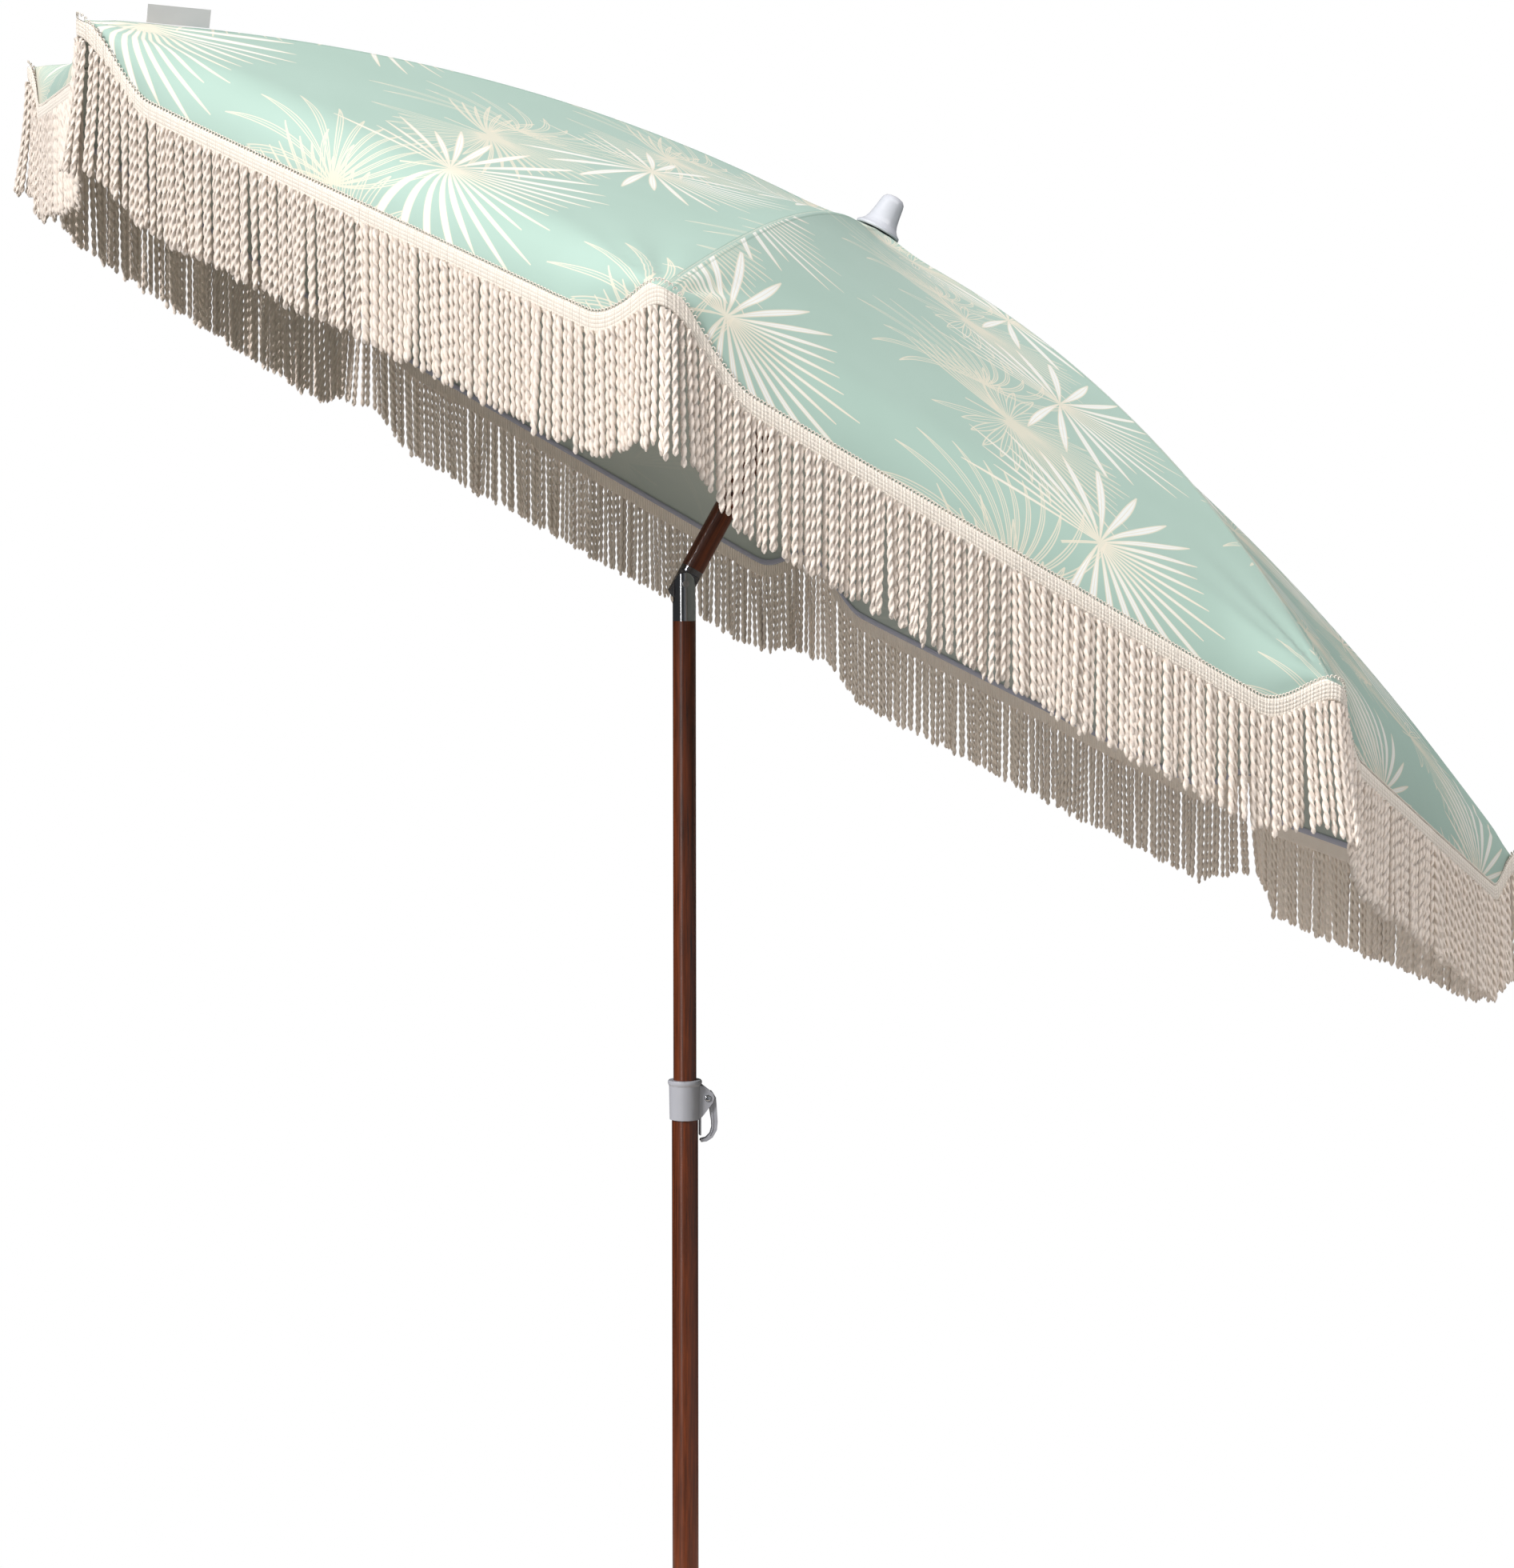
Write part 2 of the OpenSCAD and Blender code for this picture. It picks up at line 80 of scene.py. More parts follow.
CROWN_X = 0.023
TIP_X = 1.018
CAP_BUMP = 0.011
ARC_X, ARC_Z, ARC_R = -0.1953, -2.1013, 2.5840
SAG = 0.012
SKIN = 0.8 * MM
VALANCE = 0.053
RIDGE_R = 0.070
HEAD_H = 0.023
CORD_END = 0.135
CORD_PITCH = 6.6 * MM
PLY_R, PLY_OUT = 1.95 * MM, 1.35 * MM
TWIST = 0.0245
HEM_LEN = TIP_X * math.sin(HALF_GORE)


# ---- shapes ----


def smooth(t):
    t = np.clip(t, 0, 1)
    return t * t * (3 - 2 * t)


def point(*parts):
    """Coordinates, given one by one, as points."""
    return np.stack(np.broadcast_arrays(*parts), -1)


def unit(v):
    v = np.asarray(v, float)
    return v / np.linalg.norm(v, axis=-1, keepdims=True)


def sector_axes(k):
    """Rows: out along rib k, across it, along the leaning pole."""
    across = np.array(JOINTS[f"rib_{k}_fold"]["axis"])
    return np.array([np.cross(across, AXIS), across, AXIS])


def place(k, points):
    return PIVOT + np.asarray(points) @ sector_axes(k)


def down(k):
    """Straight down, in sector k's coordinates."""
    return sector_axes(k) @ np.array([0, 0, -1.0])


def rib_height(x):
    return ARC_Z + np.sqrt(ARC_R**2 - (x - ARC_X) ** 2) + CAP_BUMP * np.exp(-((x / 0.07) ** 2))


def chord_point(x, s):
    """On the straight line from rib to mid-gore at rib distance x. s runs from -1 to 1 across the sector."""
    w = np.abs(s)
    mid_x, mid_y = x * (1 + math.cos(2 * HALF_GORE)) / 2, x * math.sin(2 * HALF_GORE) / 2
    return point(x + (mid_x - x) * w, np.sign(s) * mid_y * w, rib_height(x))


def roll_over(k, s, rise):
    """How far the cloth keeps inside the sharp corner where the canopy turns down into the valance."""
    w = np.abs(s)
    turn = HALF_GORE * smooth(w / 0.15)
    inward = unit(point(-np.cos(turn), -np.sign(s) * np.sin(turn), 0.573))
    radius = RIDGE_R * smooth(w * HEM_LEN / 0.14)
    near = np.clip(1 - rise / np.maximum(radius, 1e-6), 0, 1)
    return (radius * near**2 / 4)[..., None] * (inward + down(k))


def pucker(x, s):
    """Small folds that spread from a rib tip."""
    w = np.abs(s)
    side, out = w * HEM_LEN * x / TIP_X, TIP_X - x
    reach = np.hypot(side, out)
    spread = np.arctan2(side, out + 0.01)
    folds = 2.2 * MM * np.exp(-((reach / 0.12) ** 2)) * np.sin(11 * spread) * smooth(out / 0.035)
    return folds


def canopy_point(k, x, s):
    t = np.clip((x - CROWN_X) / (TIP_X - CROWN_X), 0, 1)
    w = np.abs(s)
    p = chord_point(x, s)
    p[..., 2] -= SAG * np.sin(np.pi * t**0.8) * (1 - (1 - w) ** 2)
    p[..., 2] += pucker(x, s)
    return p + roll_over(k, s, (TIP_X - x) * 1.06)


def hem_drop(w):
    """Depth of the valance at share w of the way from rib tip to mid-gore."""
    return VALANCE * smooth(np.clip((w * HEM_LEN - 0.005) / 0.092, 0, 1) ** 0.87)


def hem_out(k, s):
    """Outward side of the hanging cloth, turned into the mitre at the rib tip."""
    d = down(k)
    sign = np.where(s >= 0, 1.0, -1.0)[..., None]
    along = chord_point(TIP_X, np.array([1.0]))[0] - chord_point(TIP_X, np.array([0.0]))[0]
    along = along * np.concatenate([np.ones_like(sign), sign, np.ones_like(sign)], -1)
    flat = unit(np.cross(d, along) * sign)
    corner = unit(np.array([1.0, 0, 0]) - d * d[0])
    share = smooth(np.abs(s) * HEM_LEN / 0.035)[..., None]
    return unit(corner * (1 - share) + flat * share)


def hem_point(k, s, depth, out):
    """A point depth below the canopy's edge and out from the cloth."""
    p = chord_point(TIP_X, s) + depth[..., None] * down(k)
    return p + roll_over(k, s, depth) + out[..., None] * hem_out(k, s)


def grid_faces(nu, nv, start=0, closed=False):
    i, j = np.meshgrid(np.arange(nu - 1), np.arange(nv if closed else nv - 1), indexing="ij")
    a = start + i * nv + j
    b = start + i * nv + (j + 1) % nv
    return np.stack([a, b, b + nv, a + nv], -1).reshape(-1, 4)


def mesh_piece(name, points, faces, uv=None, material=None, slots=None):
    """A smooth mesh of quads. uv maps a layer's name to one pair for each point."""
    mesh = bpy.data.meshes.new(name)
    points, faces = np.asarray(points, float).reshape(-1, 3), np.asarray(faces, int)
    a, b, c, d = np.moveaxis(points[faces] - points.mean(0), 1, 0)
    if (a * (np.cross(b, c) + np.cross(c, d))).sum() < 0:
        faces = faces[:, ::-1]
    mesh.vertices.add(len(points))
    mesh.vertices.foreach_set("co", points.ravel())
    mesh.loops.add(faces.size)
    mesh.loops.foreach_set("vertex_index", faces.ravel())
    mesh.polygons.add(len(faces))
    mesh.polygons.foreach_set("loop_start", np.arange(0, faces.size, 4))
    mesh.polygons.foreach_set("loop_total", np.full(len(faces), 4))
    mesh.polygons.foreach_set("use_smooth", np.ones(len(faces), bool))
    for layer, values in (uv or {}).items():
        data = mesh.uv_layers.new(name=layer).data
        data.foreach_set("uv", np.asarray(values, float).reshape(-1, 2)[faces.ravel()].ravel())
    for m in [material] if not isinstance(material, (list, tuple)) else material:
        mesh.materials.append(m)
    if slots is not None:
        mesh.polygons.foreach_set("material_index", slots)
    mesh.update(calc_edges=True)
    mesh.validate()
    piece = bpy.data.objects.new(name, mesh)
    bpy.context.collection.objects.link(piece)
    return piece


# ---- materials ----


def paint(code):
    """An sRGB hex value as linear red, green, blue and alpha."""
    parts = [int(code[i : i + 2], 16) / 255 for i in (1, 3, 5)]
    return [c / 12.92 if c <= 0.04045 else ((c + 0.055) / 1.055) ** 2.4 for c in parts] + [1.0]


def add(tree, kind, inputs=(), output=0, **settings):
    """Adds a node with its settings, fills its inputs with values or sockets, and gives one output."""
    node = tree.nodes.new("ShaderNode" + kind)
    for name, value in settings.items():
        setattr(node, name, value)
    for key, value in inputs.items() if isinstance(inputs, dict) else enumerate(inputs):
        if isinstance(value, bpy.types.NodeSocket):
            tree.links.new(value, node.inputs[key])
        elif value is not None:
            node.inputs[key].default_value = value
    return node.outputs[output]


def sums(tree, known, steps):
    """Works through lines of (name, operation, values), each a Math node, where a value may name an earlier line."""
    for name, operation, *values in steps:
        values = [known[v] if isinstance(v, str) else v for v in values]
        known[name] = add(tree, "Math", values, operation=operation)
    return known


def finish_of(name, surface):
    """A new material whose Principled shader takes the sockets and values that surface gives."""
    material = bpy.data.materials.new(name)
    material.use_nodes = True
    tree = material.node_tree
    tree.nodes.clear()
    shader = add(tree, "BsdfPrincipled", surface(tree), output="BSDF")
    out = tree.nodes.new("ShaderNodeOutputMaterial")
    tree.links.new(shader, out.inputs["Surface"])
    return material


def bump(tree, height, distance, strength=1.0):
    return add(tree, "Bump", {"Height": height, "Distance": distance, "Strength": strength})


def palm_fan():
    """Node group: one palm fan round its own centre. Gives the white of its leaves and their outline."""
    tree = bpy.data.node_groups.new("palm_fan", "ShaderNodeTree")
    wanted = ("Turn", "Leaves", "Long", "Short", "Fat", "Thin", "Curl", "Gap")
    tree.interface.new_socket(name="Place", in_out="INPUT", socket_type="NodeSocketVector")
    for name in wanted:
        tree.interface.new_socket(name=name, in_out="INPUT", socket_type="NodeSocketFloat")
    for name in ("Fill", "Line"):
        tree.interface.new_socket(name=name, in_out="OUTPUT", socket_type="NodeSocketFloat")
    given = tree.nodes.new("NodeGroupInput")
    known = {name: given.outputs[name] for name in wanted}
    split = tree.nodes.new("ShaderNodeSeparateXYZ")
    tree.links.new(given.outputs["Place"], split.inputs[0])
    known["x"], known["y"] = split.outputs["X"], split.outputs["Y"]
    known["r"] = add(tree, "VectorMath", (given.outputs["Place"],), output="Value", operation="LENGTH")
    crowd = 0.15
    sums(tree, known, (
        ("bare", "ARCTAN2", "y", "x"),
        ("bent", "MULTIPLY_ADD", "r", "Curl", "Turn"),
        ("angle", "ADD", "bare", "bent"),
        # leaves stand close together at the sides and far apart above and below
        ("twice", "MULTIPLY", "angle", 2.0),
        ("swing", "SINE", "twice"),
        ("opened", "MULTIPLY_ADD", "swing", crowd, "angle"),
        ("per_turn", "MULTIPLY", "Leaves", 1 / math.tau),
        ("count", "MULTIPLY", "opened", "per_turn"),
        ("leaf", "FLOOR", "count"),
        ("part", "SUBTRACT", "count", "leaf"),
        ("off", "SUBTRACT", "part", 0.5),
        ("mid", "ADD", "leaf", 0.5),
        ("facing", "DIVIDE", "mid", "per_turn"),
        ("cos_facing", "COSINE", "facing"),
        ("side", "MULTIPLY", "cos_facing", "cos_facing"),
        ("cos_twice", "COSINE", "twice"),
        ("packed", "MULTIPLY_ADD", "cos_twice", 2 * crowd, 1.0),
        ("step", "MULTIPLY", "per_turn", "packed"),
        ("turned", "DIVIDE", "off", "step"),
        ("away", "MULTIPLY", "turned", "r"),
        ("apart", "ABSOLUTE", "away"),
    ))
    known["chance"] = add(tree, "TexWhiteNoise", {"W": known["leaf"]}, output="Value", noise_dimensions="1D")
    sums(tree, known, (
        ("gain", "SUBTRACT", "Long", "Short"),
        ("plain", "MULTIPLY_ADD", "side", "gain", "Short"),
        ("vary", "MULTIPLY_ADD", "chance", 0.3, 0.75),
        ("length", "MULTIPLY", "plain", "vary"),
        ("t", "DIVIDE", "r", "length"),
        ("rest", "SUBTRACT", 1.0, "t"),
        ("lens", "MULTIPLY", "t", "rest"),
        ("late", "MULTIPLY_ADD", "t", 3.6, 1.7),
        ("blade", "MULTIPLY", "lens", "late"),
        ("slim", "SUBTRACT", "Thin", "Fat"),
        ("wide", "MULTIPLY_ADD", "side", "slim", "Fat"),
        ("half", "MULTIPLY", "blade", "wide"),
        # a bare sector of the fan, where its stem leaves
        ("to_gap", "SUBTRACT", "facing", math.radians(140)),
        ("cos_gap", "COSINE", "to_gap"),
        ("kept", "LESS_THAN", "cos_gap", "Gap"),
        ("inside", "LESS_THAN", "t", 1.0),
        ("shown", "MULTIPLY", "kept", "inside"),
        ("white", "LESS_THAN", "apart", "half"),
        ("fill", "MULTIPLY", "white", "shown"),
        ("edge", "SUBTRACT", "apart", "half"),
        ("edge_off", "ABSOLUTE", "edge"),
        ("outline", "LESS_THAN", "edge_off", 0.75 * MM),
        ("vein", "LESS_THAN", "apart", 0.45 * MM),
        ("drawn", "MAXIMUM", "outline", "vein"),
        ("line", "MULTIPLY", "drawn", "shown"),
        # a short stem through the gap
        ("stem_turn", "SUBTRACT", "angle", math.radians(140)),
        ("stem_side", "SINE", "stem_turn"),
        ("stem_cos", "COSINE", "stem_turn"),
        ("stem_away", "MULTIPLY", "stem_side", "r"),
        ("stem_apart", "ABSOLUTE", "stem_away"),
        ("stem_thin", "LESS_THAN", "stem_apart", 1.6 * MM),
        ("stem_near", "LESS_THAN", "r", 0.055),
        ("stem_way", "GREATER_THAN", "stem_cos", 0.0),
        ("stem_a", "MULTIPLY", "stem_thin", "stem_near"),
        ("stem", "MULTIPLY", "stem_a", "stem_way"),
        ("lines", "MAXIMUM", "line", "stem"),
    ))
    out = tree.nodes.new("NodeGroupOutput")
    tree.links.new(known["fill"], out.inputs["Fill"])
    tree.links.new(known["lines"], out.inputs["Line"])
    return tree


PALM_FAN = palm_fan()
REPEAT = (0.43, 0.33)
# where each motif sits in the repeat, its turn, and its fan: leaves, long, short, fat, thin, curl, gap, white
PRINT = (
    ((0.74, 0.30), 0.87, (26, 0.16, 0.165, 4.2 * MM, 2.6 * MM, 3.4, 0.15), 0.0),
    ((0.79, 0.515), -0.5, (46, 0.18, 0.12, 5.4 * MM, 1.4 * MM, -0.7, 0.84), 0.0),
    ((0.0, 0.0), -0.17, (30, 0.165, 0.175, 4.8 * MM, 1.7 * MM, 0.35, 0.86), 0.8),
)


def palm_print(tree, base, leaf, line, strength):
    """The cloth's colour with fans drawn over it. The print repeats every REPEAT metres."""
    place_uv = add(tree, "UVMap", output="UV", uv_map="print")
    period = (*REPEAT, 1.0)
    colour = base
    for (u, v), turn, (leaves, long, short, fat, thin, curl, gap), white in PRINT:
        moved = add(tree, "VectorMath", (place_uv, (u * REPEAT[0], v * REPEAT[1], 0)), operation="SUBTRACT")
        half = [p / 2 for p in period]
        local = add(
            tree, "VectorMath", (moved, half, [-h for h in half]), operation="WRAP"
        )
        fan = tree.nodes.new("ShaderNodeGroup")
        fan.node_tree = PALM_FAN
        tree.links.new(local, fan.inputs["Place"])
        values = {"Turn": turn, "Leaves": leaves, "Long": long, "Short": short, "Fat": fat, "Thin": thin}
        for name, value in {**values, "Curl": curl, "Gap": gap}.items():
            fan.inputs[name].default_value = value
        for mask, ink, share in (("Fill", leaf, white * strength), ("Line", line, 0.8 * strength)):
            if share:
                known = sums(tree, {"m": fan.outputs[mask]}, (("a", "MULTIPLY", "m", share),))
                colour = add(
                    tree, "Mix", {"Factor": known["a"], 6: colour, 7: ink}, output=2, data_type="RGBA"
                )
    return colour


def woven_cloth(name, base, shade, leaf, line, strength):
    """Plain-woven polyester: matt, with a fine weave, slow colour drift and a felled seam over each rib."""

    def surface(tree):
        seam = add(tree, "UVMap", output="UV", uv_map="seam")
        place_uv = add(tree, "UVMap", output="UV", uv_map="print")
        drift = add(tree, "TexNoise", {"Vector": place_uv, "Scale": 7.0, "Detail": 3.0}, output="Fac")
        ground = add(
            tree, "Mix", {"Factor": drift, 6: paint(base), 7: paint(shade)}, output=2, data_type="RGBA"
        )
        colour = palm_print(tree, ground, paint(leaf), paint(line), strength)
        weft = add(tree, "TexWave", {"Vector": place_uv, "Scale": 520.0}, output="Fac", bands_direction="X")
        warp = add(tree, "TexWave", {"Vector": place_uv, "Scale": 520.0}, output="Fac", bands_direction="Y")
        split = tree.nodes.new("ShaderNodeSeparateXYZ")
        tree.links.new(seam, split.inputs[0])
        known = sums(tree, {"x": split.outputs["X"], "y": split.outputs["Y"], "a": weft, "b": warp}, (
            ("off", "ABSOLUTE", "x"),
            ("weave", "MULTIPLY", "a", "b"),
            ("fold", "LESS_THAN", "off", 4.5 * MM),
            ("row", "SUBTRACT", "off", 3.4 * MM),
            ("row_off", "ABSOLUTE", "row"),
            ("on_row", "LESS_THAN", "row_off", 0.5 * MM),
            ("beat", "MULTIPLY", "y", math.tau / (3.2 * MM)),
            ("pulse", "SINE", "beat"),
            ("dash", "GREATER_THAN", "pulse", -0.3),
            ("stitch", "MULTIPLY", "on_row", "dash"),
            ("low", "MULTIPLY_ADD", "stitch", -0.6, "fold"),
            ("height", "MULTIPLY_ADD", "weave", 0.12, "low"),
            ("edge", "SUBTRACT", "off", 4.7 * MM),
            ("edge_off", "ABSOLUTE", "edge"),
            ("edge_line", "LESS_THAN", "edge_off", 0.5 * MM),
            ("dark", "MAXIMUM", "edge_line", "stitch"),
            ("darker", "MULTIPLY", "dark", 0.35),
        ))
        colour = add(
            tree, "Mix", {"Factor": known["darker"], 6: colour, 7: paint("#6F9583")}, output=2,
            data_type="RGBA",
        )
        return {
            "Base Color": colour,
            "Roughness": 0.72,
            "Sheen Weight": 0.12,
            "Sheen Roughness": 0.4,
            "Specular IOR Level": 0.35,
            "Normal": bump(tree, known["height"], 0.35 * MM),
        }

    return finish_of(name, surface)


def cotton(name, light, dark, ribs, knit=None):
    """Spun cotton: no gloss and soft fuzz. ribs are per metre. knit gives a band's wale and course pitch, and paints
    shade into the hollows between the stitches.
    """

    def surface(tree):
        place_uv = add(tree, "UVMap", output="UV", uv_map="yarn")
        spin = add(
            tree, "TexWave", {"Vector": place_uv, "Scale": ribs, "Distortion": 0.6, "Detail": 2.0},
            output="Fac", bands_direction="DIAGONAL",
        )
        fuzz = add(tree, "TexNoise", {"Vector": place_uv, "Scale": 900.0, "Detail": 4.0}, output="Fac")
        patch = add(tree, "TexNoise", {"Vector": place_uv, "Scale": 60.0, "Detail": 2.0}, output="Fac")
        known = sums(tree, {"a": spin, "b": fuzz, "c": patch}, (
            ("h", "MULTIPLY_ADD", "b", 0.6, "a"),
            ("mixed", "MULTIPLY", "c", 0.45),
            ("tone", "MULTIPLY_ADD", "b", 0.3, "mixed"),
        ))
        colour = add(
            tree, "Mix", {"Factor": known["tone"], 6: paint(light), 7: paint(dark)}, output=2,
            data_type="RGBA",
        )
        if knit:
            split = tree.nodes.new("ShaderNodeSeparateXYZ")
            tree.links.new(place_uv, split.inputs[0])
            known |= {"x": split.outputs["X"], "y": split.outputs["Y"]}
            sums(tree, known, (
                ("wale_turn", "MULTIPLY", "x", math.pi / knit[0]),
                ("wale_wave", "SINE", "wale_turn"),
                ("wale", "ABSOLUTE", "wale_wave"),
                ("course_turn", "MULTIPLY", "y", math.pi / knit[1]),
                ("course_wave", "SINE", "course_turn"),
                ("course", "ABSOLUTE", "course_wave"),
                ("stitch", "MINIMUM", "wale", "course"),
                # painted shade: where the knit sinks between stitches, the colour is mixed towards a darker
                # brown-grey
                ("hollow", "LESS_THAN", "stitch", 0.24),
                ("painted_hollow_shade", "MULTIPLY", "hollow", 0.42),
                ("round", "MULTIPLY", "wale", "course"),
                ("h", "MULTIPLY_ADD", "round", 2.5, "h"),
            ))
            colour = add(
                tree, "Mix", {"Factor": known["painted_hollow_shade"], 6: colour, 7: paint("#A89A84")}, output=2,
                data_type="RGBA",
            )
        return {
            "Base Color": colour,
            "Roughness": 0.9,
            "Sheen Weight": 0.25,
            "Sheen Roughness": 0.5,
            "Specular IOR Level": 0.2,
            "Normal": bump(tree, known["h"], 0.16 * MM),
        }

    return finish_of(name, surface)


def wood_foil(name, lean):
    """Wood-look foil on steel tube: long dark grain under a hard clear gloss. lean turns the grain with the tube."""

    def surface(tree):
        spot = add(tree, "TexCoord", output="Object")
        moved = add(tree, "VectorMath", (spot, tuple(PIVOT)), operation="SUBTRACT")
        stood = add(tree, "VectorRotate", {"Vector": moved, "Angle": -lean}, rotation_type="Y_AXIS")
        long = add(tree, "VectorMath", (stood, (1, 1, 0.035)), operation="MULTIPLY")
        fine = add(tree, "TexNoise", {"Vector": long, "Scale": 420.0, "Detail": 5.0, "Roughness": 0.65}, output="Fac")
        broad = add(tree, "TexNoise", {"Vector": long, "Scale": 70.0, "Detail": 3.0}, output="Fac")
        known = sums(tree, {"a": fine, "b": broad}, (
            ("c", "MULTIPLY_ADD", "a", 1.5, -0.25),
            ("d", "MULTIPLY", "b", 0.5),
            ("e", "MULTIPLY_ADD", "c", 0.6, "d"),
            ("f", "MULTIPLY_ADD", "e", 2.2, -0.75),
            ("grain", "MINIMUM", "f", 1.0),
            ("g", "MAXIMUM", "grain", 0.0),
        ))
        colour = add(
            tree, "Mix", {"Factor": known["g"], 6: paint("#2C1003"), 7: paint("#753510")}, output=2,
            data_type="RGBA",
        )
        return {
            "Base Color": colour,
            "Roughness": 0.38,
            "Specular IOR Level": 0.35,
            "Coat Weight": 0.25,
            "Coat Roughness": 0.15,
            "Normal": bump(tree, known["g"], 0.08 * MM),
        }

    return finish_of(name, surface)


def moulded(name, code, rough, grain=0.05):
    """Injection-moulded plastic: an even skin with faint flow marks and a fine spark-eroded texture."""

    def surface(tree):
        spot = add(tree, "TexCoord", output="Object")
        skin = add(tree, "TexNoise", {"Vector": spot, "Scale": 1500.0, "Detail": 3.0}, output="Fac")
        flow = add(tree, "TexNoise", {"Vector": spot, "Scale": 35.0, "Detail": 3.0}, output="Fac")
        shade = [c * 0.9 for c in paint(code)[:3]] + [1.0]
        colour = add(tree, "Mix", {"Factor": flow, 6: paint(code), 7: shade}, output=2, data_type="RGBA")
        return {
            "Base Color": colour,
            "Roughness": rough,
            "Specular IOR Level": 0.5,
            "Normal": bump(tree, skin, grain * MM),
        }

    return finish_of(name, surface)


def metal(name, code, rough, brushed=0.0):
    """Plated or painted steel: mirror bright where it is plated, with faint polishing marks."""

    def surface(tree):
        spot = add(tree, "TexCoord", output="Object")
        marks = add(tree, "VectorMath", (spot, (1, 1, 0.05)), operation="MULTIPLY")
        fine = add(tree, "TexNoise", {"Vector": marks, "Scale": 900.0, "Detail": 3.0}, output="Fac")
        known = sums(tree, {"a": fine}, (("r", "MULTIPLY_ADD", "a", 0.12, rough - 0.06),))
        return {
            "Base Color": paint(code),
            "Metallic": 1.0,
            "Roughness": known["r"],
            "Normal": bump(tree, fine, (0.01 + brushed) * MM),
        }

    return finish_of(name, surface)


CANOPY_CLOTH = woven_cloth("canopy_polyester_print", "#A5BEB2", "#9CB6A9", "#EDEDEA", "#DAD3BF", 1.0)
# the back is the cloth's own greyer side with a faint print, and its colour is also made paler as painted light
# coming through the cloth
CANOPY_BACK = woven_cloth("canopy_polyester_back_painted_through_light", "#ABB3AC", "#A3ABA4", "#BDC3BE", "#B8BAB0", 0.35)
FRINGE_COTTON = cotton("fringe_cotton_two_ply", "#FBF2E7", "#EAD7C4", 900.0)
HEADING_COTTON = cotton("heading_cotton_knit", "#F4EDE2", "#E9DFCF", 500.0, (2.9 * MM, 3.8 * MM))
BINDING = cotton("hem_binding_tape", "#B4B5C2", "#A3A4B6", 700.0)
TAG_SATIN = moulded("tag_satin_woven_white", "#DADADA", 0.6, 0.03)
CAP_CLOTH = moulded("crown_polyester_mint", "#8FB3A2", 0.8, 0.08)
WOOD = wood_foil("pole_wood_foil", 0.0)
WOOD_LEANING = wood_foil("pole_wood_foil_leaning", LEAN)
GREY_PLASTIC = moulded("clamp_polypropylene_grey", "#A9ABB1", 0.42)
WHITE_PLASTIC = moulded("finial_polypropylene_white", "#BFC2C8", 0.35)
BUTTON_PLASTIC = moulded("runner_polypropylene_grey", "#9A9CA1", 0.45)
DARK_PLASTIC = moulded("bush_nylon_black", "#232326", 0.5)
CHROME = metal("joint_steel_chromed", "#A9ABAF", 0.10)
RIB_ROD = moulded("rib_fibreglass_white", "#DEDED8", 0.5)
DARK_CHROME = metal("tongue_steel_black_chromed", "#6B6C70", 0.15)
STRETCHER_STEEL = metal("stretcher_steel_zinc", "#B8BABD", 0.38)


# ---- canopy ----

ROWS, COLS = 96, 72


def gore_of(k, s):
    """The gore that a point of sector k lies in: gore n runs from rib n to rib n + 1."""
    return k if s >= 0 else (k - 2) % 8 + 1


# where the print starts on each gore, as shares of its repeat
PRINT_START = {g: (0.31 * g % 1, 0.47 * g % 1) for g in RIBS} | {6: (0.835, 0.106), 7: (0.753, 0.006)}


def print_uv(k, x, s, extra=0.0):
    """Place on the flat gore: u across it from its middle, v out from the crown."""
    half = x * math.sin(HALF_GORE)
    u = np.where(s >= 0, -(1 - np.abs(s)), 1 - np.abs(s)) * half
    v = x * math.cos(HALF_GORE) * 1.07 + extra
    right, left = PRINT_START[gore_of(k, 1)], PRINT_START[gore_of(k, -1)]
    u = u + np.where(s >= 0, right[0], left[0]) * REPEAT[0]
    v = v + np.where(s >= 0, right[1], left[1]) * REPEAT[1]
    return point(u, v)


def seam_uv(x, s):
    return point(s * x * math.sin(HALF_GORE), x)


def both_skins(k, points, normal, uv):
    """Outer and inner skins of a cloth grid, joined round the edge, in row coordinates."""
    nu, nv = points.shape[:2]
    n = nu * nv
    outer = place(k, points).reshape(-1, 3)
    inner = place(k, points - normal * SKIN).reshape(-1, 3)
    top = grid_faces(nu, nv)
    low = top[:, ::-1] + n
    row = np.arange(nv - 1)
    col = np.arange(nu - 1) * nv
    last = (nu - 1) * nv
    edges = [
        np.stack([row + 1, row, row + n, row + 1 + n], -1),
        np.stack([last + row, last + row + 1, last + row + 1 + n, last + row + n], -1),
        np.stack([col, col + nv, col + nv + n, col + n], -1),
        np.stack([col + nv + nv - 1, col + nv - 1, col + nv - 1 + n, col + nv + nv - 1 + n], -1),
    ]
    faces = np.concatenate([top, low, *edges])
    slots = np.zeros(len(faces), int)
    slots[len(top) : len(top) + len(low)] = 1
    uvs = {name: np.concatenate([v.reshape(-1, 2)] * 2) for name, v in uv.items()}
    return np.concatenate([outer, inner]), faces, slots, uvs


def grid_normals(points):
    du = np.gradient(points, axis=0)
    dv = np.gradient(points, axis=1)
    return unit(np.cross(du, dv))


